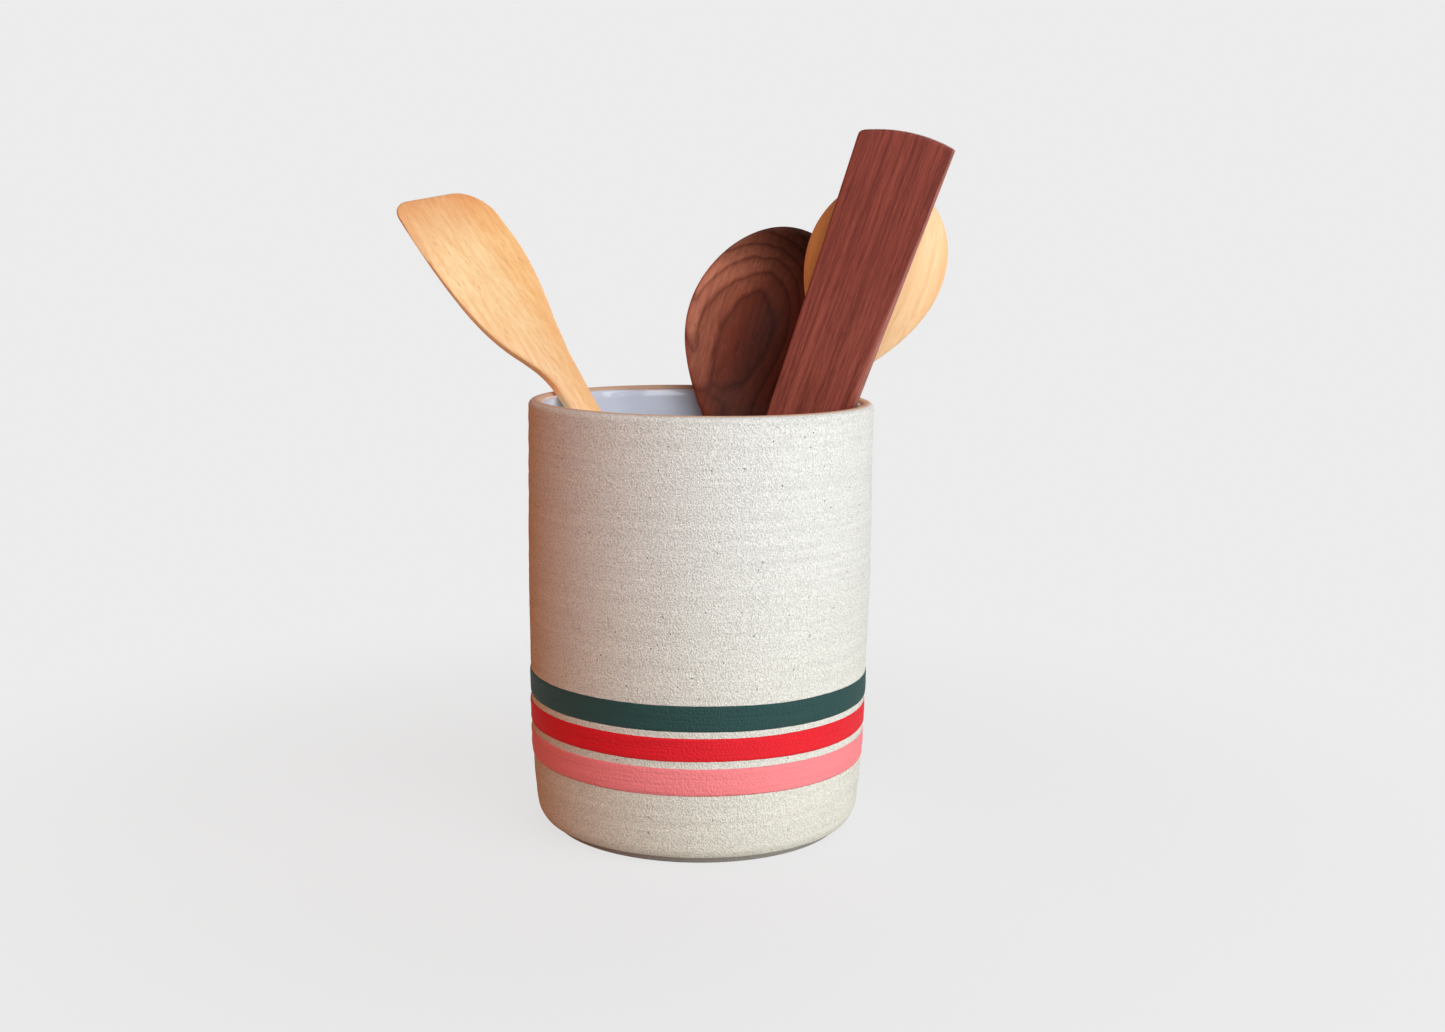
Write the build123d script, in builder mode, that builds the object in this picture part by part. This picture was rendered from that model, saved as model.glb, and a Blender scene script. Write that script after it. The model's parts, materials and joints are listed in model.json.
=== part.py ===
"""Stoneware utensil crock with three slip bands, a glazed inside and four wooden utensils.

Millimetres, +Z up. The origin is the centre of the flat foot that the crock stands on.
Every utensil leans on the rim with its end on the glazed floor, and lifts out along its own axis.
"""
from math import asin, cos, degrees, hypot, pi, radians, sin, sqrt, tan
import os

from build123d import *

# Crock body
rim_diameter = 140.0
crock_height = 175.5
rim_wall = 5.6
base_wall = 6.4
floor_thickness = 9.0
inside_corner_radius = 12.0
foot_diameter = 121.0
foot_height = 3.4
foot_edge_break = 0.8
lower_edge_overhang = 3.4
heel_height = 10.5
heel_curve_radius = 11.0
lip_height_share = 0.45
lip_sweep = 180.0

# Outside wall above the heel: how far up, and its radius against the rim's
wall_shares = ((0.0, 0.956), (0.16, 0.983), (0.37, 0.992), (0.58, 1.003), (0.8, 1.001), (1.0, 1.0))

# Glaze inside and slip bands outside
glaze_thickness = 0.4
bare_lip_depth = 2.9
slip_thickness = 0.3
slip_bedding = 0.12
pink_band_height = 29.7
pink_band_width = 10.8
red_band_gap = 3.0
red_band_width = 9.1
green_band_gap = 2.6
green_band_width = 10.1

# Room left round every utensil, and what the cuts overrun by
standing_clearance = 0.3
nesting_gap = 2.6
overrun = 5.0
settling_rounds = 6

# Turner
turner_handle_width = 12.0
turner_handle_thickness = 9.0
turner_neck_width = 14.0
turner_neck_thickness = 8.0
turner_blade_length = 101.0
turner_blade_width = 44.2
turner_tip_thickness = 2.6
turner_facing = 38.0
turner_cant = 6.0
turner_tip_slant = 10.0
turner_left_corner_radius = 7.0
turner_right_corner_radius = 14.0
turner_blade_shares = ((0.12, 0.37), (0.27, 0.61), (0.46, 0.87), (0.72, 1.0), (1.05, 0.99))

# Straight paddle
paddle_rim_width = 33.6
paddle_top_width = 37.8
paddle_thickness = 7.8
paddle_edge_radius = 2.0
paddle_above_rim = 113.0
paddle_crown = 3.0
paddle_slant = 4.2
paddle_facing = -10.0

# Walnut spoon
walnut_handle_width = 12.0
walnut_handle_thickness = 10.0
walnut_bowl_length = 97.0
walnut_bowl_width = 66.0
walnut_bowl_depth = 15.0
walnut_hollow_depth = 10.5
walnut_bowl_rim_width = 2.6
walnut_bowl_rim_thickness = 3.0
walnut_bowl_sink = 25.0
walnut_rim_rise_share = 0.27
walnut_facing = 0.0

# Maple spoon
maple_handle_width = 12.0
maple_handle_thickness = 10.0
maple_bowl_length = 84.0
maple_bowl_width = 57.5
maple_bowl_depth = 12.0
maple_hollow_depth = 8.0
maple_bowl_rim_width = 2.4
maple_bowl_rim_thickness = 2.6
maple_bowl_rise = 8.0
maple_facing = 180.0

# Outline shared by both spoon bowls: where it is widest, and how full it is towards the handle
bowl_widest_share = 0.6
bowl_fullness_share = 0.8
bowl_front_share = 0.35
hollow_start_share = 0.1
barrel_start_share = 0.06
barrel_end_share = 1.02
bowl_stations = 12

# Handle of both spoons: end size, then how it thins and sinks into the bowl's back as a spine
handle_end_share = 0.9
spine_shares = ((0.0, 1.0, 0.0), (0.14, 0.8, 0.45), (0.4, 0.3, 0.9))

# Where the utensils stand: directions round the crock, and foot places as shares of the inside
turner_foot_azimuth = -5.0
turner_foot_share = 0.86
turner_lean_azimuth = 159.6
paddle_foot_azimuth = 102.5
paddle_foot_share = 0.45
paddle_lean_azimuth = 4.2
walnut_foot_azimuth = 143.0
walnut_foot_share = 0.82
walnut_lean_azimuth = 73.0
maple_foot_azimuth = 78.0
maple_foot_share = 0.7

# Sizes worked out from those above
rim_radius = rim_diameter / 2
mouth_radius = rim_radius - rim_wall
foot_radius = foot_diameter / 2
lower_edge_radius = foot_radius + lower_edge_overhang
heel_radius = rim_radius * wall_shares[0][1]
inside_floor_radius = heel_radius - base_wall
standing_radius = inside_floor_radius - glaze_thickness
standing_floor = floor_thickness + glaze_thickness
lip_height = rim_wall * lip_height_share
wall_top = crock_height - lip_height
turner_tip_slope = tan(radians(turner_tip_slant))
paddle_widening = (paddle_top_width - paddle_rim_width) / paddle_above_rim
paddle_foot_width = paddle_rim_width - paddle_widening * crock_height
red_band_height = pink_band_height + pink_band_width + red_band_gap
green_band_height = red_band_height + red_band_width + green_band_gap


def wall_points(grow):
    """Points of the outside wall from heel to lip, grown outwards."""
    rise = wall_top - heel_height
    return [(rim_radius * out + grow, heel_height + rise * up) for up, out in wall_shares]


def inside_radius(height):
    """Inside radius of the crock at a height, on its straight taper."""
    slope = (mouth_radius - inside_floor_radius) / (crock_height - floor_thickness)
    return inside_floor_radius + slope * (height - floor_thickness)


def cavity_corners(inset, top):
    """Corners of the inside of the crock, drawn in by an inset, up to a height."""
    return [(0, floor_thickness + inset), (inside_radius(floor_thickness) - inset, floor_thickness + inset),
            (inside_radius(top) - inset, top), (0, top)]


def make_cavity(inset, top):
    """Solid that fills the inside of the crock, up to a height."""
    with BuildPart() as cavity:
        with BuildSketch(Plane.XZ):
            with BuildLine():
                Polyline(*cavity_corners(inset, top), close=True)
            make_face()
            corner = vertices().group_by(Axis.Y)[0].sort_by(Axis.X)[-1]
            fillet(corner, inside_corner_radius - inset)
        revolve(axis=Axis.Z)
    return cavity.part


def make_band(height, width):
    """Slip band: a skin of slip just off the outside wall, cut to the band's height and width."""
    with BuildPart() as band:
        with BuildSketch(Plane.XZ):
            with BuildLine():
                skin = Spline(*wall_points(slip_bedding + slip_thickness))
                Polyline(skin @ 1, (0, wall_top), (0, heel_height), skin @ 0)
            make_face()
            with BuildLine():
                wall = Spline(*wall_points(slip_bedding))
                Polyline(wall @ 1, (0, wall_top), (0, heel_height), wall @ 0)
            make_face(mode=Mode.SUBTRACT)
            with Locations((rim_radius, height + width / 2)):
                Rectangle(rim_diameter, width, mode=Mode.INTERSECT)
        revolve(axis=Axis.Z)
    return band


def lean_reach(azimuth, facing, corners, roundness):
    """Distance from the crock's axis to a utensil at rim level, where its section just clears the mouth."""
    room = mouth_radius - standing_clearance - roundness
    turn = radians(facing - azimuth)
    reaches = []
    for across, through in corners:
        outward = across * cos(turn) - through * sin(turn)
        sideways = across * sin(turn) + through * cos(turn)
        reaches.append(sqrt(room ** 2 - sideways ** 2) - outward)
    return min(reaches)


def spot(reach, azimuth, height):
    """Point at a distance from the crock's axis, in a direction round it, at a height."""
    return Vector(reach * cos(radians(azimuth)), reach * sin(radians(azimuth)), height)


def standing_plane(foot_azimuth, foot_share, lean_azimuth, facing, corners, roundness, foot_size):
    """Plane of a utensil's foot, with the utensil's axis as its normal, and the length from foot to rim.

    The foot's size is its width, its thickness and the radius of its corners.
    """
    foot = spot(standing_radius * foot_share, foot_azimuth, standing_floor)
    across = spot(1, facing, 0)
    width, thickness, corner = foot_size
    stretch = 1
    drop = 0
    for settling in range(settling_rounds):
        reach = lean_reach(lean_azimuth, facing, corners, roundness * stretch)
        lean = spot(reach, lean_azimuth, crock_height)
        standing = Vector(foot.X, foot.Y, foot.Z + standing_clearance + drop)
        axis = (lean - standing).normalized()
        side = (across - axis * across.dot(axis)).normalized()
        stretch = 1 / axis.Z
        through = axis.cross(side)
        drop = (abs((width / 2 - corner) * side.Z) + abs((thickness / 2 - corner) * through.Z)
                + corner * hypot(side.Z, through.Z))
    return Plane(origin=standing, x_dir=side, z_dir=axis), (lean - standing).length


def face_plane(plane):
    """Plane through a utensil's axis that its face lies in, with y along the utensil."""
    return Plane(origin=plane.origin, x_dir=plane.x_dir, z_dir=-plane.y_dir)


def side_plane(plane):
    """Plane through a utensil's axis that its side view lies in: x along it, y towards its back."""
    return Plane(origin=plane.origin, x_dir=plane.z_dir, z_dir=-plane.x_dir)


def bowl_share(along):
    """Half width of a spoon's bowl against its widest, from 0 at the neck to 1 at the tip."""
    if along < bowl_widest_share:
        return cos(pi / 2 * (1 - along / bowl_widest_share)) ** bowl_fullness_share
    return sqrt(max(1 - ((along - bowl_widest_share) / (1 - bowl_widest_share)) ** 2, 0))


def barrel_points(start, length, half_width, depth, level):
    """Long section of a bowl's round side, and the level that it turns about.

    Turned about that level and cut at the given one, it leaves the bowl's outline there.
    Past the tip the outline's square turns negative, which takes the section below the cut.
    """
    distance = (half_width ** 2 - depth ** 2) / (2 * depth)
    points = []
    for station in range(bowl_stations + 1):
        along = barrel_start_share + (barrel_end_share - barrel_start_share) * station / bowl_stations
        square = 1 - ((along - bowl_widest_share) / (1 - bowl_widest_share)) ** 2
        if along < bowl_widest_share:
            square = bowl_share(along) ** 2
        radius = sqrt(distance ** 2 + half_width ** 2 * square)
        points.append((start + length * along, level - distance + radius))
    return points, level - distance


def make_barrel(plane, start, length, half_width, depth, level):
    """Round solid whose long section is a bowl's, lying along a utensil."""
    points, centre = barrel_points(start, length, half_width, depth, level)
    with BuildPart() as barrel:
        with BuildSketch(side_plane(plane)):
            with BuildLine():
                section = Spline(*points)
                Polyline(section @ 1, (points[-1][0], centre), (points[0][0], centre), section @ 0)
            make_face()
        turning_axis = Axis((plane * Location((0, centre, 0))).position, plane.z_dir)
        revolve(axis=turning_axis)
    return barrel.part


def make_spoon(plane, neck, handle_size, bowl_size, depths, rim_size):
    """Spoon whose bowl starts at the neck, with its hollow towards the plane's -y side."""
    handle_width, handle_thickness = handle_size
    bowl_length, bowl_width = bowl_size
    bowl_depth, hollow_depth = depths
    rim_width, rim_thickness = rim_size
    front = -handle_thickness * bowl_front_share
    level = front + rim_thickness
    round_depth = bowl_depth - rim_thickness
    hollow_start = neck + bowl_length * hollow_start_share
    hollow_length = bowl_length * (1 - hollow_start_share) - rim_width
    with BuildPart() as spoon:
        add(make_barrel(plane, neck, bowl_length, bowl_width / 2, round_depth, level))
        cut = Plane(origin=(plane * Location((0, level, 0))).position, x_dir=plane.x_dir, z_dir=plane.y_dir)
        split(bisect_by=cut, keep=Keep.TOP)
        outline = spoon.faces().filter_by(GeomType.PLANE).sort_by(SortBy.AREA)[-1]
        extrude(outline, amount=rim_thickness)
        for height, size_share in ((0, handle_end_share), (neck, 1)):
            with BuildSketch(plane.offset(height)):
                Ellipse(handle_width / 2 * size_share, handle_thickness / 2 * size_share)
        loft(ruled=True)
        for along, size_share, sink_share in spine_shares:
            sunk = (level + round_depth * bowl_share(along) ** 2) * sink_share
            with BuildSketch(plane.offset(neck + bowl_length * along)):
                with Locations((0, sunk)):
                    Ellipse(handle_width / 2 * size_share, handle_thickness / 2 * size_share)
        loft()
        add(make_barrel(plane, hollow_start, hollow_length, bowl_width / 2 - rim_width, hollow_depth, front),
            mode=Mode.SUBTRACT)
    return spoon


# Crock body: outside and lip turned first, then the inside cut out
lip_half_width = (rim_radius - inside_radius(wall_top)) / 2
lip_centre = (rim_radius - lip_half_width, wall_top)
with BuildPart() as crock_body:
    with BuildSketch(Plane.XZ):
        with BuildLine():
            wall = Spline(*wall_points(0))
            foot = Polyline((0, 0), (foot_radius - foot_edge_break, 0), (foot_radius, foot_edge_break),
                            (foot_radius, foot_height), (lower_edge_radius, foot_height))
            RadiusArc(foot @ 1, wall @ 0, -heel_curve_radius)
            lip = EllipticalCenterArc(lip_centre, lip_half_width, lip_height,
                                      start_angle=0, arc_size=lip_sweep)
            Polyline(lip @ 1, (0, wall_top), (0, 0))
        make_face()
    revolve(axis=Axis.Z)
    add(make_cavity(0, wall_top), mode=Mode.SUBTRACT)
crock_body.part.label = "crock_body"

# Glaze that lines the inside, up to the bare lip
with BuildPart() as glaze_liner:
    add(make_cavity(0, crock_height - bare_lip_depth))
    add(make_cavity(glaze_thickness, crock_height), mode=Mode.SUBTRACT)
glaze_liner.part.label = "glaze_liner"

# Slip bands
slip_band_pink = make_band(pink_band_height, pink_band_width)
slip_band_pink.part.label = "slip_band_pink"
slip_band_red = make_band(red_band_height, red_band_width)
slip_band_red.part.label = "slip_band_red"
slip_band_green = make_band(green_band_height, green_band_width)
slip_band_green.part.label = "slip_band_green"

# Turner: a rounded handle that flattens past the rim into a canted blade, trimmed to a slanted tip
turner_corners = [((turner_neck_width - turner_neck_thickness) / 2 * side, 0) for side in (-1, 1)]
turner_plane, turner_rise = standing_plane(
    turner_foot_azimuth, turner_foot_share, turner_lean_azimuth, turner_facing,
    turner_corners, turner_neck_thickness / 2,
    (turner_handle_width, turner_handle_thickness, turner_handle_thickness / 2))
turner_neck = turner_plane.offset(turner_rise)
turner_head = Plane(origin=turner_neck.origin, x_dir=turner_neck.x_dir,
                    z_dir=turner_neck.z_dir.rotate(Axis((0, 0, 0), turner_neck.x_dir), -turner_cant))
with BuildPart() as turner:
    with BuildSketch(turner_plane):
        Ellipse(turner_handle_width / 2, turner_handle_thickness / 2)
    with BuildSketch(turner_neck):
        Ellipse(turner_neck_width / 2, turner_neck_thickness / 2)
    loft(ruled=True)
    with BuildSketch(turner_neck):
        Ellipse(turner_neck_width / 2, turner_neck_thickness / 2)
    for along, width_share in turner_blade_shares:
        blade_thickness = turner_neck_thickness + (turner_tip_thickness - turner_neck_thickness) * along
        with BuildSketch(turner_head.offset(turner_blade_length * along)):
            Ellipse(turner_blade_width / 2 * width_share, blade_thickness / 2)
    loft()
    with BuildSketch(face_plane(turner_head)):
        half = turner_blade_width / 2
        low = -turner_rise - overrun
        left = turner_blade_length + half * turner_tip_slope / 2
        right = turner_blade_length - half * turner_tip_slope * 3 / 2
        with BuildLine():
            Polyline((-half, left), (-half, low), (half, low), (half, right), close=True)
        make_face()
        left_corner = vertices().group_by(Axis.X)[0].sort_by(Axis.Y)[-1]
        fillet(left_corner, turner_left_corner_radius)
        right_corner = vertices().group_by(Axis.X)[-1].sort_by(Axis.Y)[-1]
        fillet(right_corner, turner_right_corner_radius)
    extrude(amount=turner_blade_width, both=True, mode=Mode.INTERSECT)
turner.part.label = "turner"

# Straight paddle: a slat that widens upwards, with rounded edges and a crowned end
paddle_corner_across = paddle_rim_width / 2 - paddle_edge_radius
paddle_corner_through = paddle_thickness / 2 - paddle_edge_radius
paddle_corners = [(paddle_corner_across * side, paddle_corner_through * face)
                  for side in (-1, 1) for face in (-1, 1)]
paddle_plane, paddle_rise = standing_plane(
    paddle_foot_azimuth, paddle_foot_share, paddle_lean_azimuth, paddle_facing,
    paddle_corners, paddle_edge_radius, (paddle_foot_width, paddle_thickness, paddle_edge_radius))
with BuildPart() as straight_paddle:
    for height in (0, paddle_rise + paddle_above_rim + overrun):
        width = paddle_rim_width + paddle_widening * (height - paddle_rise)
        with BuildSketch(paddle_plane.offset(height)):
            RectangleRounded(width, paddle_thickness, paddle_edge_radius)
    loft()
    with BuildSketch(face_plane(paddle_plane)):
        half = paddle_top_width / 2 + overrun
        top = paddle_rise + paddle_above_rim
        drop = paddle_crown * (half / (paddle_top_width / 2)) ** 2
        slant = paddle_slant * half / paddle_top_width
        with BuildLine():
            crown = ThreePointArc((-half, top - drop - slant), (0, top), (half, top - drop + slant))
            Polyline(crown @ 1, (half, -overrun), (-half, -overrun), crown @ 0)
        make_face()
    extrude(amount=paddle_top_width, both=True, mode=Mode.INTERSECT)
straight_paddle.part.label = "straight_paddle"

# Walnut spoon: stands at the back with its hollow towards the front
walnut_rim_along = (walnut_bowl_sink + walnut_bowl_width * walnut_rim_rise_share) / walnut_bowl_length
walnut_corner_across = walnut_bowl_width / 2 * bowl_share(walnut_rim_along)
walnut_corner = (walnut_corner_across, -walnut_handle_thickness * bowl_front_share)
walnut_plane, walnut_rise = standing_plane(
    walnut_foot_azimuth, walnut_foot_share, walnut_lean_azimuth, walnut_facing,
    [walnut_corner], 0, (walnut_handle_width, walnut_handle_thickness, walnut_handle_thickness / 2))
walnut_spoon = make_spoon(
    walnut_plane, walnut_rise - walnut_bowl_sink, (walnut_handle_width, walnut_handle_thickness),
    (walnut_bowl_length, walnut_bowl_width), (walnut_bowl_depth, walnut_hollow_depth),
    (walnut_bowl_rim_width, walnut_bowl_rim_thickness))
walnut_spoon.part.label = "walnut_spoon"

# Maple spoon: stands behind the paddle with its round back towards it, one nesting gap away
paddle_lean = paddle_plane.origin + paddle_plane.z_dir * paddle_rise
maple_bulge = maple_bowl_depth - maple_handle_thickness * bowl_front_share
maple_lean_y = paddle_lean.Y + paddle_thickness / 2 + nesting_gap + maple_bulge
maple_lean_reach = mouth_radius - standing_clearance - maple_handle_width / 2
maple_lean_azimuth = degrees(asin(maple_lean_y / maple_lean_reach))
maple_plane, maple_rise = standing_plane(
    maple_foot_azimuth, maple_foot_share, maple_lean_azimuth, maple_facing,
    [(0, 0)], maple_handle_width / 2,
    (maple_handle_width, maple_handle_thickness, maple_handle_thickness / 2))
maple_spoon = make_spoon(
    maple_plane, maple_rise + maple_bowl_rise, (maple_handle_width, maple_handle_thickness),
    (maple_bowl_length, maple_bowl_width), (maple_bowl_depth, maple_hollow_depth),
    (maple_bowl_rim_width, maple_bowl_rim_thickness))
maple_spoon.part.label = "maple_spoon"

# One file for each piece
os.makedirs("parts", exist_ok=True)
export_step(crock_body.part, "parts/crock_body.step")
export_step(glaze_liner.part, "parts/glaze_liner.step")
export_step(slip_band_pink.part, "parts/slip_band_pink.step")
export_step(slip_band_red.part, "parts/slip_band_red.step")
export_step(slip_band_green.part, "parts/slip_band_green.step")
export_step(turner.part, "parts/turner.step")
export_step(straight_paddle.part, "parts/straight_paddle.step")
export_step(walnut_spoon.part, "parts/walnut_spoon.step")
export_step(maple_spoon.part, "parts/maple_spoon.step")

# Lift-out axis of each utensil, for the joints
for name, plane in (("turner", turner_plane), ("straight_paddle", paddle_plane),
                    ("walnut_spoon", walnut_plane), ("maple_spoon", maple_plane)):
    foot = [round(value, 3) for value in plane.origin]
    axis = [round(value, 6) for value in plane.z_dir]
    print(name, "foot", foot, "axis", axis)
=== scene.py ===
"""Looks of the stoneware utensil crock: thrown clay, glaze, brushed slip and four carved wooden utensils.

Metres, +Z up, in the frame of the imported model. Named sizes that end in _mm are millimetres.
"""
import json
import math

import bpy
import numpy as np
from mathutils import Matrix, Vector, noise
from mathutils.bvhtree import BVHTree


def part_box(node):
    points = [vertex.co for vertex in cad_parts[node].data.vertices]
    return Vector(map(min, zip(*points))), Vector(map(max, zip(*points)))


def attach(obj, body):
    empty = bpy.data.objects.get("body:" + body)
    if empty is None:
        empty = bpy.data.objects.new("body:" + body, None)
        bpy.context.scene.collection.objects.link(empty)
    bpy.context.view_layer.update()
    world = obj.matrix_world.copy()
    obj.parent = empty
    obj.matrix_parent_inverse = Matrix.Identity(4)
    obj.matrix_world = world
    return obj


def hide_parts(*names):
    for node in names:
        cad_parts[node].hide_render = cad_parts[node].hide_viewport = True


bl_info = {
    "name": "Utensil crock",
    "version": (1, 0, 0),
    "blender": (4, 5, 0),
    "location": "3D Viewport > Sidebar > Crock",
    "description": "Throws, glazes and bands a stoneware crock and carves the utensils that stand in it",
    "category": "Add Mesh",
}

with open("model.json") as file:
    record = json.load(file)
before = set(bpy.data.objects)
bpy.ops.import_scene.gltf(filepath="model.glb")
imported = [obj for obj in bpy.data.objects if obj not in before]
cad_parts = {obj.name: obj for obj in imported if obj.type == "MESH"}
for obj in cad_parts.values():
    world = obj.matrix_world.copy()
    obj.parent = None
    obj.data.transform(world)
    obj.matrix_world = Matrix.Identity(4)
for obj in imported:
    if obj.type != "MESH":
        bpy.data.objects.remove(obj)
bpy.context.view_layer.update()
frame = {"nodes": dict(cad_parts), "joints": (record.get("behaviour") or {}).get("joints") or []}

MM = 0.001
crock_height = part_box("crock_body")[1].z
liner_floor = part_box("glaze_liner")[0].z

# Rays that measure the crock start beyond it and run beside its seam
BEYOND = 1.0
SEAM = 0.01 * MM

# Where the lip's rounding starts, and the inside's rounded corner, which rays measure from near it
LIP_ROUND = 2.6 * MM
CORNER_ABOVE_FLOOR = 13 * MM
CORNER_FROM_WALL = 12 * MM

# Thinnest that a utensil is carved
THINNEST_MM = 0.6

# Inputs of a Mix node for colours, by number; the mixed colour is its output 2
FACTOR, COLOUR_A, COLOUR_B = 0, 6, 7


# Sizes and colours that a user would change

def length_mm(name, description, default):
    """Property for a length in millimetres."""
    return bpy.props.FloatProperty(name=name, description=description, default=default, min=0.0)


def number(name, description, default, unit="NONE"):
    """Property for any other number."""
    return bpy.props.FloatProperty(name=name, description=description, default=default, unit=unit)


def colour(name, description, default):
    """Property for a colour, written as an sRGB hex value."""
    return bpy.props.StringProperty(name=name, description=description, default=default)


class CrockSettings(bpy.types.PropertyGroup):
    """Clay, glaze and slip of the crock."""
    ring_relief_mm: length_mm("Throwing rings", "Height of the rings that the fingers leave, in mm", 0.2)
    sway_mm: length_mm("Sway", "How far the thrown wall strays from a true circle, in mm", 0.25)
    ring_spacing_mm: length_mm("Ring spacing", "Distance between throwing rings, in mm", 3.6)
    glaze_below_crest_mm: length_mm(
        "Glaze limit", "How far below the crest of the lip the inside glaze ends, in mm", 1.3)
    glaze_mm: length_mm("Glaze", "Thickness of the inside glaze, in mm", 0.4)
    slip_mm: length_mm("Slip", "How far a slip band stands out from the clay, in mm", 0.42)
    slip_spread_mm: length_mm("Slip spread", "How far a band's edges lie beyond the CAD band's, in mm", 0.25)
    slip_edge_sway_mm: length_mm("Band edge sway", "How far the brushed edges wander, in mm", 0.22)
    bare_lip_mm: length_mm("Bare lip", "Height of the smooth unglazed lip, in mm", 2.0)
    clay_colour: colour("Clay", "Fired sandy clay", "#E1E1DB")
    clay_dark_colour: colour("Clay between grains", "Darker clay between the grains of sand", "#CCCAC2")
    clay_light_colour: colour("Sand grains", "Pale grains of sand", "#F2F1ED")
    clay_low_colour: colour("Clay below", "Tint of the clay near the foot, warmer than the rest", "#FFFEF4")
    lip_colour: colour("Lip", "Smooth bare clay of the lip", "#D6AE92")
    fleck_colour: colour("Iron flecks", "Burnt iron in the clay", "#5A4438")
    # Foot colour is painted shade: the set-in foot is darkened where the overhang shades it
    foot_painted_shade_colour: colour("Foot", "Bare foot, greyed by the surfaces that it stands on", "#A39E96")
    glaze_colour: colour("Glaze", "Cool white glaze inside", "#D6DDEC")
    green_colour: colour("Green slip", "Dark green band", "#1B4340")
    red_colour: colour("Red slip", "Bright red band", "#E10A20")
    pink_colour: colour("Pink slip", "Pink band", "#F7868A")


class UtensilSettings(bpy.types.PropertyGroup):
    """Shapes of the wooden utensils."""
    turner_facing: number("Turner facing", "Direction across the turner's face, in degrees", 38.0)
    turner_cant: number("Turner cant", "How far its blade tilts back from its handle, in degrees", 6.0)
    turner_tip_slant: number("Turner tip slant", "Slant of the turner's tip, in degrees", 10.0)
    paddle_facing: number("Paddle facing", "Direction across the paddle's face, in degrees", -10.0)
    paddle_thickness_mm: length_mm("Paddle thickness", "Thickness of the straight paddle, in mm", 7.8)
    paddle_edge_mm: length_mm("Paddle edge", "Rounding of the paddle's edges, in mm", 1.0)
    paddle_bevel_mm: length_mm("Paddle bevel", "Widest bevel of the paddle's right edge, in mm", 3.0)
    walnut_bowl_mm: length_mm("Walnut bowl", "Width of the walnut spoon's bowl, in mm", 66.0)
    walnut_hollow_mm: length_mm("Walnut hollow", "Depth of the walnut spoon's hollow, in mm", 10.5)
    maple_bowl_mm: length_mm("Maple bowl", "Width of the maple spoon's bowl, in mm", 57.5)
    maple_hollow_mm: length_mm("Maple hollow", "Depth of the maple spoon's hollow, in mm", 8.0)


class StageSettings(bpy.types.PropertyGroup):
    """Camera, lamps and floor."""
    backdrop_colour: colour("Backdrop", "Pale floor and backdrop", "#ECECEC")
    bounce_colour: colour("Bounce", "Warm wooden colour that the floor throws back at the left", "#7C5A28")
    key_power: number("Key power", "Power of the broad soft lamp at the right in front", 40.8, unit="POWER")
    warm_power: number("Warm power", "Power of the warm lamp at the left", 5.5, unit="POWER")
    back_power: number("Back power", "Power of the soft lamp behind", 8.0, unit="POWER")
    world_strength: number("World strength", "Brightness of the light from all round", 0.03)


# Node materials

def linear(hex_value):
    """Turns an sRGB hex value into a linear colour with alpha."""
    channels = [int(hex_value[place:place + 2], 16) / 255 for place in (1, 3, 5)]
    return [c / 12.92 if c <= 0.04045 else ((c + 0.055) / 1.055) ** 2.4 for c in channels] + [1.0]


def feed(tree, node, inputs):
    """Gives inputs, by name or number, a value, or links them to a socket or a node's first output."""
    for key, value in inputs.items():
        if isinstance(value, bpy.types.Node):
            value = value.outputs[0]
        if isinstance(value, bpy.types.NodeSocket):
            tree.links.new(value, node.inputs[key])
        else:
            node.inputs[key].default_value = value


def add(tree, kind, inputs=None, stops=(), span=(), **options):
    """Adds a node with its options and what its inputs are fed.

    Stops are a colour ramp's. Span is a Map Range node's lowest and highest value, and what they turn into.
    """
    node = tree.nodes.new("ShaderNode" + kind)
    for key, value in options.items():
        setattr(node, key, value)
    feed(tree, node, {**(inputs or {}), **dict(enumerate(span, 1))})
    for number, (position, value) in enumerate(stops):
        if number > 1:
            node.color_ramp.elements.new(position)
        node.color_ramp.elements[number].position = position
        node.color_ramp.elements[number].color = linear(value)
    return node


def bare_tree(owner):
    """Node tree of a material or world, with nothing in it yet."""
    owner.use_nodes = True
    owner.node_tree.nodes.clear()
    return owner.node_tree


def start_material(name):
    """New material with only an output, its Principled shader and object coordinates."""
    material = bpy.data.materials.new(name)
    tree = bare_tree(material)
    shader = add(tree, "BsdfPrincipled")
    add(tree, "OutputMaterial", {"Surface": shader})
    return material, tree, shader, add(tree, "TexCoord").outputs["Object"]


def per_mm(size_mm):
    """Texture scale at which one cell of a pattern is that many millimetres."""
    return 1 / (size_mm * MM)


def cells(level_mm, upright_mm):
    """Texture scale by axis of a pattern whose cells have one size along X and Y and another along Z."""
    return per_mm(level_mm), per_mm(level_mm), per_mm(upright_mm)


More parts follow.
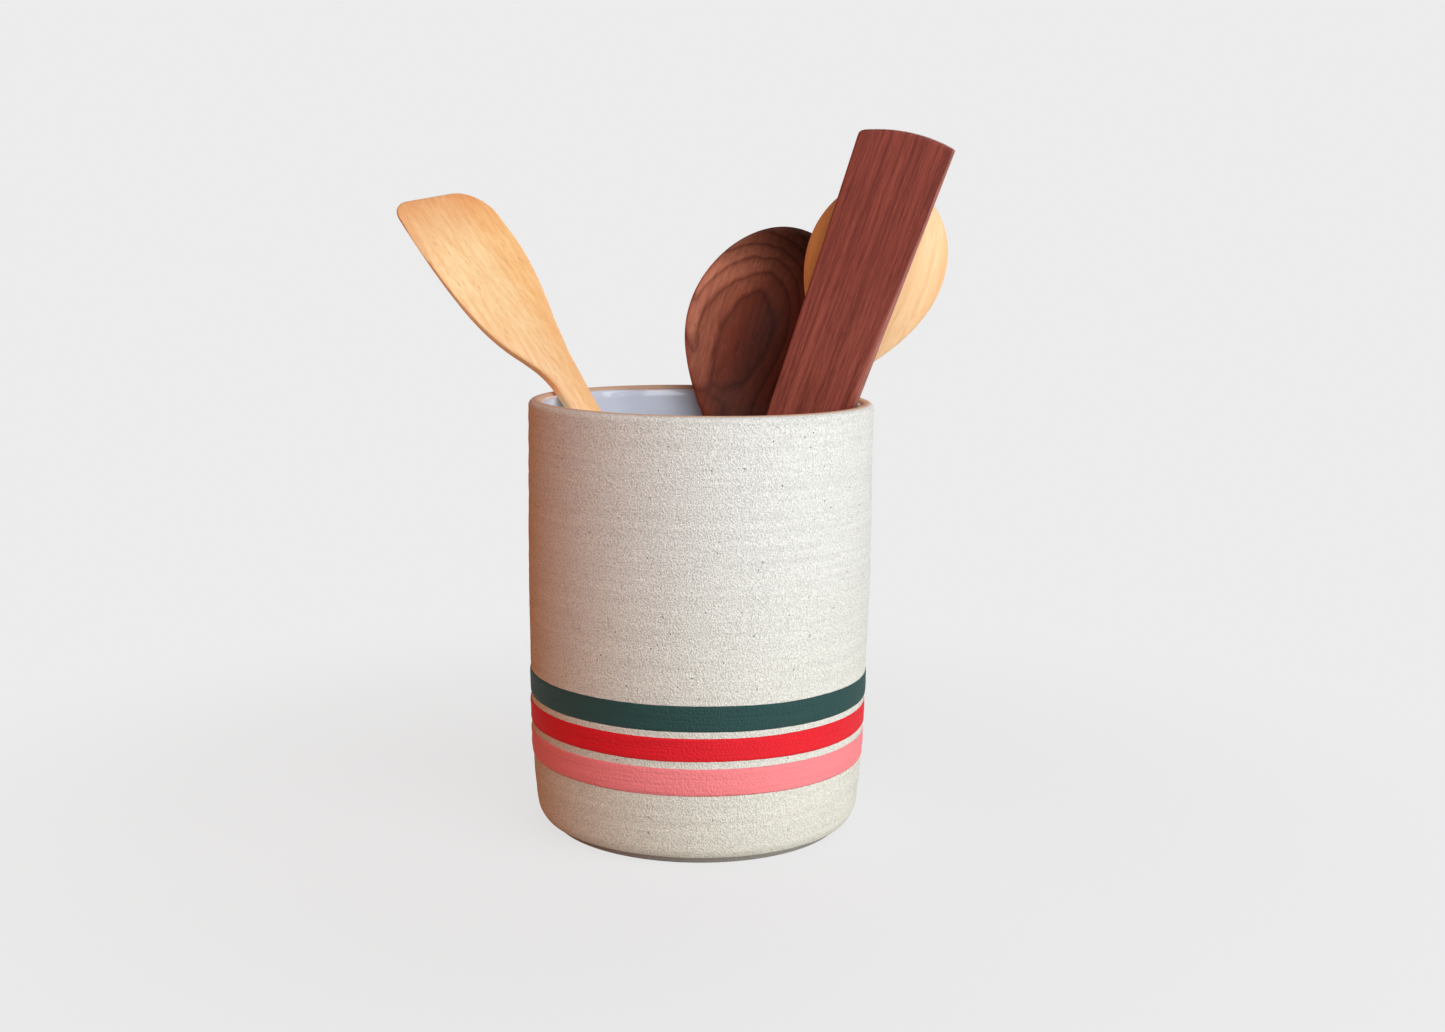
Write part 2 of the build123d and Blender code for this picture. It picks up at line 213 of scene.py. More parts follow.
def stoneware():
    """Sandy stoneware, thrown and left bare: matt, grainy, with burnt iron flecks and a smooth tan lip."""
    look = bpy.context.scene.crock
    material, tree, shader, place = start_material("sandy_stoneware_thrown_bare")
    grain = add(tree, "TexNoise", {"Vector": place, "Scale": per_mm(0.68), "Detail": 2.0, "Roughness": 0.6})
    tones = ((0.34, look.clay_dark_colour), (0.5, look.clay_colour), (0.66, look.clay_light_colour))
    sand = add(tree, "ValToRGB", {"Fac": grain}, stops=tones)

    # Faint level streaks that the fingers drag round the wall
    flat = add(tree, "VectorMath", {0: place, 1: cells(90, 1.4)}, operation="MULTIPLY")
    streak = add(tree, "TexNoise", {"Vector": flat, "Scale": 1.0, "Detail": 4.0})
    streak_value = add(tree, "MapRange", {"Value": streak}, span=(0.3, 0.7, 0.95, 1.05))
    streaked = add(tree, "HueSaturation", {"Color": sand, "Value": streak_value})

    # Iron flecks: small dark dots, far apart
    dots = add(tree, "TexVoronoi", {"Vector": place, "Scale": per_mm(5)})
    fleck = add(tree, "MapRange", {"Value": dots}, span=(0.035, 0.068, 1.0, 0.0))
    flecked = add(tree, "Mix", {FACTOR: fleck, COLOUR_A: streaked, COLOUR_B: linear(look.fleck_colour)},
                  data_type="RGBA")

    # The clay is warmer towards the foot, and the set-in foot is painted darker grey as painted shade under
    # the overhang
    height = add(tree, "SeparateXYZ", {0: place})
    below = add(tree, "MapRange", {"Value": height.outputs["Z"]}, span=(0.0, 130 * MM, 1.0, 0.0))
    tinted = add(tree, "Mix", {FACTOR: below, COLOUR_A: flecked.outputs[2],
                               COLOUR_B: linear(look.clay_low_colour)},
                 data_type="RGBA", blend_type="MULTIPLY")
    # Painted shade on the set-in foot, below about 3 mm
    foot = add(tree, "MapRange", {"Value": height.outputs["Z"]}, span=(2.6 * MM, 3.6 * MM, 1.0, 0.0),
               interpolation_type="SMOOTHSTEP")
    with_painted_foot_shade = add(tree, "Mix", {FACTOR: foot, COLOUR_A: tinted.outputs[2],
                                 COLOUR_B: linear(look.foot_painted_shade_colour)}, data_type="RGBA")

    # The lip is sponged smooth, so it is tan from its crest inwards, with a ragged limit
    level = add(tree, "VectorMath", {0: place, 1: (1, 1, 0)}, operation="MULTIPLY")
    radius = add(tree, "VectorMath", {0: level}, operation="LENGTH")
    lean = 0.8
    leaned = add(tree, "Math", {0: radius.outputs["Value"], 1: -lean, 2: height.outputs["Z"]},
                 operation="MULTIPLY_ADD")
    raggedness = 0.9 * MM
    ragged = add(tree, "Math", {0: grain, 1: raggedness, 2: leaned}, operation="MULTIPLY_ADD")
    crest = crock_height - lean * inside_radius(crock_height - 4 * MM) - 2.2 * MM
    limit = (crest - look.bare_lip_mm * MM, crest - 0.2 * look.bare_lip_mm * MM)
    lip = add(tree, "MapRange", {"Value": ragged}, span=limit, interpolation_type="SMOOTHSTEP")
    dressed = add(tree, "Mix", {FACTOR: lip, COLOUR_A: with_painted_foot_shade.outputs[2],
                                COLOUR_B: linear(look.lip_colour)}, data_type="RGBA")

    # Sand stands proud of the clay, and flecks leave pits; the lip keeps little of either
    pitted = add(tree, "Math", {0: grain, 1: fleck}, operation="SUBTRACT")
    strength = add(tree, "MapRange", {"Value": lip}, span=(0.0, 1.0, 1.0, 0.3))
    bump = add(tree, "Bump", {"Strength": strength, "Distance": 0.75 * MM, "Height": pitted})
    feed(tree, shader, {"Base Color": dressed.outputs[2], "Roughness": 0.9, "Specular IOR Level": 0.3,
                        "Normal": bump})
    return material


def glaze_limit():
    """Height at which the inside glaze ends."""
    return crock_height - bpy.context.scene.crock.glaze_below_crest_mm * MM


def glossy_glaze():
    """Cool white glaze, poured inside: glossy, slightly uneven, and tan where it thins at the lip."""
    look = bpy.context.scene.crock
    material, tree, shader, place = start_material("cool_white_glaze_poured")
    cloud = add(tree, "TexNoise", {"Vector": place, "Scale": per_mm(26), "Detail": 2.0})
    tone = add(tree, "MapRange", {"Value": cloud}, span=(0.3, 0.7, 0.95, 1.04))
    body = add(tree, "HueSaturation", {"Color": linear(look.glaze_colour), "Value": tone})
    height = add(tree, "SeparateXYZ", {0: place})
    wander = add(tree, "Math", {0: cloud, 1: 2.4 * MM, 2: height.outputs["Z"]}, operation="MULTIPLY_ADD")
    limit = (glaze_limit() + 0.2 * MM, glaze_limit() + 1.6 * MM)
    thin = add(tree, "MapRange", {"Value": wander}, span=limit, interpolation_type="SMOOTHSTEP")
    broken = add(tree, "Mix", {FACTOR: thin, COLOUR_A: body, COLOUR_B: linear(look.lip_colour)},
                 data_type="RGBA")
    dimple = add(tree, "TexNoise", {"Vector": place, "Scale": per_mm(7), "Detail": 1.0})
    bump = add(tree, "Bump", {"Strength": 0.2, "Distance": 0.4 * MM, "Height": dimple})
    feed(tree, shader, {"Base Color": broken.outputs[2], "Roughness": 0.1, "Normal": bump})
    return material


def brushed_slip(name, hex_value):
    """Coloured slip, brushed on as the crock turned: matt, with level brush lines over sandy clay."""
    material, tree, shader, place = start_material(name)
    flat = add(tree, "VectorMath", {0: place, 1: cells(34, 0.9)}, operation="MULTIPLY")
    stroke = add(tree, "TexNoise", {"Vector": flat, "Scale": 1.0, "Detail": 3.0, "Roughness": 0.6})
    tone = add(tree, "MapRange", {"Value": stroke}, span=(0.3, 0.7, 0.93, 1.07))
    body = add(tree, "HueSaturation", {"Color": linear(hex_value), "Value": tone})
    sand = add(tree, "TexNoise", {"Vector": place, "Scale": per_mm(0.9), "Detail": 2.0})
    both = add(tree, "Math", {0: sand, 1: 1.4, 2: stroke}, operation="MULTIPLY_ADD")
    bump = add(tree, "Bump", {"Strength": 0.7, "Distance": 0.6 * MM, "Height": both})
    feed(tree, shader, {"Base Color": body, "Roughness": 0.72, "Specular IOR Level": 0.4,
                        "Normal": bump})
    return material


def wood(name, matrix, tones, pore_hex, ring_mm, pith_mm, wander_mm, streak, pore, gloss, tint_and_painted_light_zones=()):
    """Solid wood: growth rings about a pith line along the utensil, long fibres, and short dark pores.

    The matrix places the utensil. Tones run through one year and end as they start. Pith gives the line's
    place across and through the piece, and its lean along it. Streak is the tint of the darkest fibres, and
    pore says how strongly pores show; gloss is the specular level of the rubbed finish. Each zone has what
    it is measured by (pith, foot or side), a tint, and the distances in mm where the tint is full and where
    it ends. Most of these tints are painted shade, darkening the wood where shade and shadows fall, and one
    darkens all but an edge, which paints a highlight on that edge.
    """
    material, tree, shader, in_frame = start_material(name)
    place = add(tree, "Mapping", {"Vector": in_frame, "Location": matrix.translation,
                                  "Rotation": matrix.to_euler()}, vector_type="TEXTURE")
    wave = add(tree, "VectorMath", {0: place, 1: cells(30, 90)}, operation="MULTIPLY")
    drift = add(tree, "TexNoise", {"Vector": wave, "Scale": 1.0, "Detail": 3.0})
    parts = add(tree, "SeparateXYZ", {0: place})
    across, through, lean_across, lean_through = pith_mm
    x = add(tree, "Math", {0: parts.outputs["Z"], 1: -lean_across, 2: parts.outputs["X"]},
            operation="MULTIPLY_ADD")
    y = add(tree, "Math", {0: parts.outputs["Z"], 1: -lean_through, 2: parts.outputs["Y"]},
            operation="MULTIPLY_ADD")
    from_pith = add(tree, "CombineXYZ", {0: x, 1: y})
    offset = add(tree, "VectorMath", {0: from_pith, 1: (across * MM, through * MM, 0)},
                 operation="SUBTRACT")
    distance = add(tree, "VectorMath", {0: offset}, operation="LENGTH")
    strayed = add(tree, "Math", {0: drift, 1: wander_mm * MM, 2: distance.outputs["Value"]},
                  operation="MULTIPLY_ADD")
    rings = add(tree, "Math", {0: strayed, 1: per_mm(ring_mm)}, operation="MULTIPLY")
    year = add(tree, "Math", {0: rings}, operation="FRACT")
    body = add(tree, "ValToRGB", {"Fac": year}, stops=tones)
    measures = {"pith": strayed, "foot": parts.outputs["Z"], "side": x}
    # Tints laid over the rings, most of them painted shade or a painted highlight
    for measure, tint, full, end in tint_and_painted_light_zones:
        low, high = sorted((full, end))
        zone = add(tree, "MapRange", {"Value": measures[measure]}, interpolation_type="SMOOTHSTEP",
                   span=(low * MM, high * MM, float(full < end), float(full > end)))
        body = add(tree, "Mix", {FACTOR: zone, COLOUR_A: body, COLOUR_B: linear(tint)},
                   data_type="RGBA", blend_type="MULTIPLY").outputs[2]

    # Fibres: long thin streaks along the utensil
    long_way = add(tree, "VectorMath", {0: place, 1: cells(0.75, 13)}, operation="MULTIPLY")
    fibre = add(tree, "TexNoise", {"Vector": long_way, "Scale": 1.0, "Detail": 3.0, "Roughness": 0.65})
    wide_way = add(tree, "VectorMath", {0: place, 1: cells(1.8, 110)}, operation="MULTIPLY")
    ribbon = add(tree, "TexNoise", {"Vector": wide_way, "Scale": 1.0, "Detail": 3.0})
    grown = add(tree, "Math", {0: fibre, 1: ribbon}, operation="ADD")
    tone = add(tree, "MapRange", {"Value": grown}, span=(0.75, 1.25))
    streaked = add(tree, "Mix", {FACTOR: tone, COLOUR_A: body, COLOUR_B: linear(streak)},
                   data_type="RGBA", blend_type="MULTIPLY")

    # Pores: short dark dashes along the fibres, a few of them stronger
    dash_way = add(tree, "VectorMath", {0: place, 1: cells(0.9, 7)}, operation="MULTIPLY")
    dash = add(tree, "TexVoronoi", {"Vector": dash_way, "Scale": 1.0})
    rare = add(tree, "MapRange", {"Value": dash.outputs["Color"]},
               span=(0.75, 0.85, 0.5 * pore, min(2 * pore, 1)))
    dark = add(tree, "MapRange", {"Value": dash}, span=(0.12, 0.36, rare, 0.0))
    pored = add(tree, "Mix", {FACTOR: dark, COLOUR_A: streaked.outputs[2], COLOUR_B: linear(pore_hex)},
                data_type="RGBA")
    relief = add(tree, "Math", {0: fibre, 1: dark}, operation="SUBTRACT")
    bump = add(tree, "Bump", {"Strength": pore, "Distance": 0.25 * MM, "Height": relief})
    feed(tree, shader, {"Base Color": pored.outputs[2], "Roughness": 0.5, "Specular IOR Level": gloss,
                        "Normal": bump})
    return material


def cherry(matrix):
    """Cherry, sawn flat and rubbed with oil: golden, faint rings, fine fibres with a few dark flecks."""
    tones = ((0.0, "#FDD8A2"), (0.35, "#FFDDA9"), (0.7, "#FEDBA6"), (1.0, "#FDD8A2"))
    # Painted shade: darker towards the tip and on the handle near the rim; the right of the blade is tinted
    # more golden
    tint_and_painted_light_zones = (("foot", "#EDCEBE", 302, 266), ("foot", "#FEF5F2", 196, 262), ("side", "#FDECD8", 1, -14))
    return wood("cherry_oiled", matrix, tones, tint_and_painted_light_zones=tint_and_painted_light_zones, pore_hex="#A85428", ring_mm=2.7, wander_mm=5,
                pith_mm=(-60, 44, 0.05, 0.02), streak="#F6E2D2", pore=0.22, gloss=0.35)


def padauk(matrix):
    """Padauk, planed straight: red brown, with fine straight streaks and open dark pores; all but its right
    edge is tinted darker, a painted highlight on that edge.
    """
    tones = ((0.0, "#C28374"), (0.5, "#C78879"), (1.0, "#C28374"))
    # Painted highlight: the side tint darkens all but the right edge; the foot tint makes the top end darker
    tint_and_painted_light_zones = (("side", "#D3A295", 11.0, 11.4), ("foot", "#E8D6D5", 236, 178))
    return wood("padauk_planed", matrix, tones, tint_and_painted_light_zones=tint_and_painted_light_zones, pore_hex="#5E2A20", ring_mm=7.0, wander_mm=8,
                pith_mm=(90, 12, 0.02, 0.0), streak="#B3A29D", pore=0.45, gloss=0.3)


def walnut(matrix):
    """Walnut, carved and oiled: red brown, with dark rings that the hollow cuts into ovals."""
    tones = ((0.0, "#9C5945"), (0.08, "#B06B54"), (0.25, "#D6896D"), (0.7, "#CE8267"), (0.93, "#BA725A"),
             (1.0, "#9C5945"))
    # Painted shade: darker in the middle of the hollow and, in two steps, on the right where the paddle
    # shades it; the top end is also tinted darker
    tint_and_painted_light_zones = (("pith", "#9C6447", 98, 111), ("side", "#9E8E88", 4, -18), ("side", "#D0A898", 12, 2),
             ("foot", "#887E7B", 242, 214))
    return wood("walnut_carved_oiled", matrix, tones, tint_and_painted_light_zones=tint_and_painted_light_zones, pore_hex="#4A2A20", ring_mm=3.3,
                wander_mm=9, pith_mm=(-22, 62, 0.0, 0.19), streak="#D9CECB", pore=0.3, gloss=0.12)


def maple(matrix):
    """Maple, carved and sanded fine: pale cream, with very fine fibres and faint tan rings."""
    tones = ((0.0, "#EEC593"), (0.15, "#F5CEA0"), (0.8, "#F4CC9D"), (1.0, "#EEC593"))
    # Painted shade: orange brown on the left of its back, where the paddle shades it and warm light bounces,
    # and a little darker at its far right edge
    tint_and_painted_light_zones = (("pith", "#E0B478", 50, 66), ("pith", "#FBF2E8", 98, 91))
    return wood("maple_sanded", matrix, tones, tint_and_painted_light_zones=tint_and_painted_light_zones, pore_hex="#CFA368", ring_mm=6.5, wander_mm=10,
                pith_mm=(50, 30, 0.04, 0.03), streak="#F8EEE2", pore=0.14, gloss=0.3)


# Meshes

def mesh_object(name, points, faces, material):
    """Smooth mesh object of one material; points are in metres."""
    mesh = bpy.data.meshes.new(name)
    mesh.from_pydata([tuple(point) for point in points], [], faces)
    mesh.validate()
    mesh.shade_smooth()
    mesh.materials.append(material)
    item = bpy.data.objects.new(name, mesh)
    bpy.context.scene.collection.objects.link(item)
    return item


def make_piece(name, points, faces, material, body, node):
    """Object that stands for a CAD node and rides on its body."""
    piece = mesh_object(name, points, faces, material)
    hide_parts(node)
    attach(piece, body)


def crock_tree():
    """Search tree over the CAD crock's mesh."""
    mesh = frame["nodes"]["crock_body"].data
    return BVHTree.FromPolygons([v.co for v in mesh.vertices], [p.vertices for p in mesh.polygons])


cad_crock = crock_tree()


def meet(origin, direction):
    """Place where a ray first meets the CAD crock."""
    place = cad_crock.ray_cast(Vector(origin), Vector(direction))[0]
    if place is None:
        raise RuntimeError(f"no CAD crock beyond {origin}")
    return place


def outside_radius(height):
    """Radius of the CAD crock's outside at a height."""
    return meet((BEYOND, SEAM, height), (-1, 0, 0)).x


def inside_radius(height):
    """Radius of the CAD crock's inside at a height."""
    return meet((0, SEAM, height), (1, 0, 0)).x


def evened(values, rounds):
    """Values with their small steps evened out, ends kept."""
    values = np.array(values)
    for _ in range(rounds):
        values[1:-1] = (values[:-2] + 2 * values[1:-1] + values[2:]) / 4
    return values


def wall_relief(azimuth, height):
    """How far the thrown wall stands off its true circle: slow sway and fine level rings."""
    look = bpy.context.scene.crock
    around = Vector((math.cos(azimuth), math.sin(azimuth), 0))
    sway = noise.noise(around * 1.1 + Vector((0, 0, height / (70 * MM))))
    ring = noise.noise(around * 0.5 + Vector((7, 3, height / (look.ring_spacing_mm * MM))))
    return (sway * look.sway_mm + ring * look.ring_relief_mm) * MM


def turned_surface(profile, relief, segments=256):
    """Points and faces of a profile of (radius, height) turned round Z, closed at both ends on the axis.

    Relief gives, for an azimuth and a row, how far that row's point moves outwards.
    """
    points = []
    for row, (radius, height) in enumerate(profile):
        for segment in range(segments):
            azimuth = 2 * math.pi * segment / segments
            reach = radius + relief(azimuth, row)
            points.append((reach * math.cos(azimuth), reach * math.sin(azimuth), height))
    faces = []
    for row in range(len(profile) - 1):
        for segment in range(segments):
            a, b = row * segments + segment, row * segments + (segment + 1) % segments
            faces.append((a, b, b + segments, a + segments))
    first, last = len(points), len(points) + 1
    points += [(0, 0, profile[0][1]), (0, 0, profile[-1][1])]
    end = (len(profile) - 1) * segments
    for segment in range(segments):
        after = (segment + 1) % segments
        faces.append((first, after, segment))
        faces.append((last, end + segment, end + after))
    return points, faces


def inside_profile(top, inset):
    """Profile of the crock's inside from a height down to near the axis, drawn in by an inset."""
    heights = np.linspace(top, liner_floor + CORNER_ABOVE_FLOOR, 60)
    radii = evened([inside_radius(height) for height in heights], 6)
    wall = [(radius - inset, height) for radius, height in zip(radii, heights)]
    corner = []
    for turn in np.linspace(0, math.pi / 2, 12)[1:]:
        centre = Vector((radii[-1] - CORNER_FROM_WALL, SEAM, heights[-1]))
        place = meet(centre, (math.cos(turn), 0, -math.sin(turn)))
        inwards = (centre - place).normalized() * inset
        corner.append((place.x + inwards.x, place.z + inwards.z))
    floor = [(corner[-1][0] * share, corner[-1][1]) for share in (0.8, 0.6, 0.4, 0.2)]
    return wall + corner + floor


class CROCK_OT_throw_body(bpy.types.Operator):
    """Throw the stoneware body, with its foot, heel, wall and rounded lip."""
    bl_idname = "crock.throw_body"
    bl_label = "Throw the body"

    def execute(self, context):
        lip_base = crock_height - LIP_ROUND
        foot = np.linspace(0.3 * MM, 3.2 * MM, 4)
        heel = np.linspace(3.6 * MM, 10.4 * MM, 12)
        wall = np.linspace(11.2 * MM, lip_base, 150)
        outside = evened([outside_radius(height) for height in wall], 30)
        profile = [(outside_radius(foot[0]) * share, 0.0) for share in (0.3, 0.6, 0.9, 0.985)]
        profile += [(outside_radius(height), height) for height in foot]
        wall_start = len(profile)
        profile += [(outside_radius(height), height) for height in heel]
        profile += list(zip(outside, wall))
        inner = inside_radius(lip_base)
        middle, half = (outside[-1] + inner) / 2, (outside[-1] - inner) / 2
        for turn in np.linspace(0, math.pi, 24)[1:-1]:
            reach = middle + half * math.cos(turn)
            profile.append((reach, meet((reach, SEAM, BEYOND), (0, 0, -1)).z))
        wall_end = len(profile)
        profile += inside_profile(lip_base, 0)
        heights = [height for _, height in profile]
        fade_in_rows, fade_out_rows = 8, 20

        def relief(azimuth, row):
            """Relief of the outside wall, which fades out at the foot and the lip."""
            if row < wall_start or row > wall_end:
                return 0
            fade = min(1, (row - wall_start) / fade_in_rows, (wall_end - row) / fade_out_rows)
            return wall_relief(azimuth, heights[row]) * fade

        points, faces = turned_surface(profile, relief)
        make_piece("stoneware_body", points, faces, stoneware(), "crock", "crock_body")
        return {"FINISHED"}


class CROCK_OT_pour_glaze(bpy.types.Operator):
    """Pour the glaze that lines the inside, thinning to nothing below the lip."""
    bl_idname = "crock.pour_glaze"
    bl_label = "Pour the inside glaze"

    def execute(self, context):
        thickness = context.scene.crock.glaze_mm * MM
        top = glaze_limit()
        thins_from = top - 1.2 * MM
        on_clay = [(0.2 * MM, liner_floor), *reversed(inside_profile(thins_from, 0)[:-1])]
        edge_radius = inside_radius(top)
        edge = [(edge_radius - 0.03 * MM, top), (edge_radius - 0.5 * thickness, top - 0.3 * MM)]
        profile = on_clay + edge + inside_profile(thins_from, thickness)
        points, faces = turned_surface(profile, lambda azimuth, row: 0)
        make_piece("inside_glaze", points, faces, glossy_glaze(), "crock", "glaze_liner")
        return {"FINISHED"}


def brush_band(name, node, material):
    """Slip band laid over the thrown wall, with edges that wander as the brush did."""
    look = bpy.context.scene.crock
    spread = look.slip_spread_mm * MM
    low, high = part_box(node)[0].z - spread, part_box(node)[1].z + spread
    seed = Vector((low * 900, 5, 0))
    margin, edge_depth, root_depth = 2 * MM, 0.1 * MM, 0.5 * MM
    ridge_mm, ridge_spacing_mm = 0.05, 1.3
    heights = np.linspace(low - margin, high + margin, 24)
    radii = evened([outside_radius(height) for height in heights], 12)
    segments, rows = 360, 15
    points, faces = [], []
    for segment in range(segments):
        azimuth = 2 * math.pi * segment / segments
        around = Vector((math.cos(azimuth), math.sin(azimuth), 0))
        sways = []
        for side in (0, 9):
            slow = noise.noise(around * 2.2 + seed + Vector((0, 0, side)))
            quick = noise.noise(around * 22 + seed + Vector((0, 0, side)))
            sways.append((slow + 0.35 * quick) * look.slip_edge_sway_mm * MM)
        for row in range(rows):
            share = row / (rows - 1)
            height = (low + sways[0]) * (1 - share) + (high + sways[1]) * share
            round_off = 1 - (2 * share - 1) ** 8
            radius = float(np.interp(height, heights, radii)) + wall_relief(azimuth, height)
            spot = around * 3 + seed + Vector((0, 0, height / (ridge_spacing_mm * MM)))
            ridge = noise.noise(spot) * ridge_mm * MM
            reach = radius - edge_depth + (look.slip_mm * MM + ridge) * math.sqrt(max(round_off, 0))
            points.append((reach * around.x, reach * around.y, height))
        for share in (0.9, 0.1):
            height = low * (1 - share) + high * share
            reach = float(np.interp(height, heights, radii)) - root_depth
            points.append((reach * around.x, reach * around.y, height))
    loop = rows + 2
    for segment in range(segments):
        here, there = segment * loop, (segment + 1) % segments * loop
        for row in range(loop):
            after = (row + 1) % loop
            faces.append((here + row, there + row, there + after, here + after))
    make_piece(name, points, faces, material, "crock", node)


class CROCK_OT_brush_bands(bpy.types.Operator):
    """Brush the green, red and pink slip bands round the outside."""
    bl_idname = "crock.brush_bands"
    bl_label = "Brush the slip bands"

    def execute(self, context):
        for tint in ("green", "red", "pink"):
            material = brushed_slip(f"{tint}_slip_brushed", getattr(context.scene.crock, f"{tint}_colour"))
            brush_band(f"{tint}_slip_band", f"slip_band_{tint}", material)
        return {"FINISHED"}


# Carved wood: all shapes below are worked out in millimetres on the utensil's own plane

def utensil_matrix(body, facing):
    """Placement of a utensil: x across its face, y towards its back, z along it, from the foot's centre.

    Also gives the distance from the foot to the crock's rim, in millimetres.
    """
    joint = next(joint for joint in frame["joints"] if joint["child"] == body)
    axis = Vector(joint["axis"]).normalized()
    turn = math.radians(facing)
    level = Vector((math.cos(turn), math.sin(turn), 0))
    across = (level - axis * level.dot(axis)).normalized()
    through = axis.cross(across)
    corners = np.array([v.co for v in frame["nodes"][body].data.vertices])
    along = corners @ np.array(axis)
    end_depth = 0.2 * MM
    end = corners[along < along.min() + end_depth]
    foot = (end.min(0) + end.max(0)) / 2
    foot = Vector(foot) + axis * (along.min() - Vector(foot).dot(axis))
    matrix = Matrix((across, through, axis)).transposed().to_4x4()
    matrix.translation = foot
    return matrix, (crock_height - foot.z) / axis.z / MM


def smooth_step(low, high, values):
    """Rises smoothly from 0 at low to 1 at high."""
    share = np.clip((np.asarray(values, float) - low) / (high - low), 0, 1)
    return share * share * (3 - 2 * share)


def curve_through(knots, places):
    """Smooth curve through (place, value) knots, read at places."""
    xs, ys = np.array(knots, float).T
    slopes = np.gradient(ys, xs)
    number = np.clip(np.searchsorted(xs, places, side="right") - 1, 0, len(xs) - 2)
    step = xs[number + 1] - xs[number]
    t = np.clip((places - xs[number]) / step, 0, 1)
    rise = (2 * t ** 3 - 3 * t ** 2 + 1) * ys[number] + (3 * t ** 2 - 2 * t ** 3) * ys[number + 1]
    bend = (t ** 3 - 2 * t ** 2 + t) * slopes[number] + (t ** 3 - t ** 2) * slopes[number + 1]
    return rise + step * bend


def soft_max(one, other, softness):
    """Larger of two values, blended smoothly where they cross."""
    return (one + other + np.sqrt((one - other) ** 2 + softness)) / 2


def round_over(inwards, radius):
    """Drop of a rounded edge, from 1 at the outline to 0 at the radius inwards."""
    share = 1 - np.clip(inwards / radius, 0, 1)
    return 1 - np.sqrt(np.clip(1 - share ** 2, 0, 1))


def bevel(gap, width, steepness):
    """Drop of a flat bevel, from an edge inwards over its width; gap is the distance from that edge."""
    return steepness * np.maximum(width - gap, 0)


def rows_along(stops):
    """Places along a utensil, from (place, spacing) stops."""
    places = []
    for (start, spacing), (end, _) in zip(stops, stops[1:]):
        places.append(np.arange(start, end - spacing * 0.4, spacing))
    return np.concatenate([*places, [stops[-1][0]]])


class Outline:
    """Grid of points that fills a utensil's outline: rows along it, columns across it, in millimetres."""
    columns = 49

    def __init__(self, along, left, right, slope=0.0, crown=0.0):
        share = (1 - np.cos(np.linspace(0, math.pi, self.columns))) / 2
        self.x = left[:, None] + (right - left)[:, None] * share
        self.z = along[:, None] + np.asarray(slope)[..., None] * self.x
        self.z = self.z - np.asarray(crown)[..., None] * self.x ** 2
        self.inwards = self.distance_to_edge()

    def distance_to_edge(self):
        """Distance from every point to the nearest place on the outline."""
        points = np.stack([self.x, self.z], -1)
        loop = np.concatenate([points[0], points[1:, -1], points[-1, -2::-1], points[-2:0:-1, 0]])
        ends = np.roll(loop, -1, 0)
        flat = points.reshape(-1, 1, 2)
        run = ends - loop
        share = np.clip(((flat - loop) * run).sum(-1) / np.maximum((run ** 2).sum(-1), 1e-12), 0, 1)
        gap = flat - (loop + share[..., None] * run)
        return np.sqrt((gap ** 2).sum(-1).min(1)).reshape(self.x.shape)

    def solid(self, front, back):
        """Points in metres and faces of the solid between a front and a back surface."""
        rows, columns = self.x.shape
        sheets = [np.stack([self.x, sheet, self.z], -1).reshape(-1, 3) for sheet in (front, back)]
        points = np.concatenate(sheets) * MM
        behind = rows * columns
        faces = []
        for row in range(rows - 1):
            for column in range(columns - 1):
                a = row * columns + column
                b, c, d = a + 1, a + 1 + columns, a + columns
                faces.append((a, b, c, d))
                faces.append((d + behind, c + behind, b + behind, a + behind))
        loop = [(0, column) for column in range(columns)] + [(row, columns - 1) for row in range(1, rows)]
        loop += [(rows - 1, column) for column in range(columns - 2, -1, -1)]
        loop += [(row, 0) for row in range(rows - 2, 0, -1)]
        numbers = [row * columns + column for row, column in loop]
        for a, b in zip(numbers, numbers[1:] + numbers[:1]):
            faces.append((b, a, a + behind, b + behind))
        return points, faces


def carve(name, outline, front, back, matrix, wood_of, body):
    """Makes a utensil's object from its outline and surfaces, placed by its matrix."""
    points, faces = outline.solid(front, back)
    placed = points @ np.array(matrix.to_3x3()).T + np.array(matrix.translation)
    make_piece(name, placed, faces, wood_of(matrix), body, body)


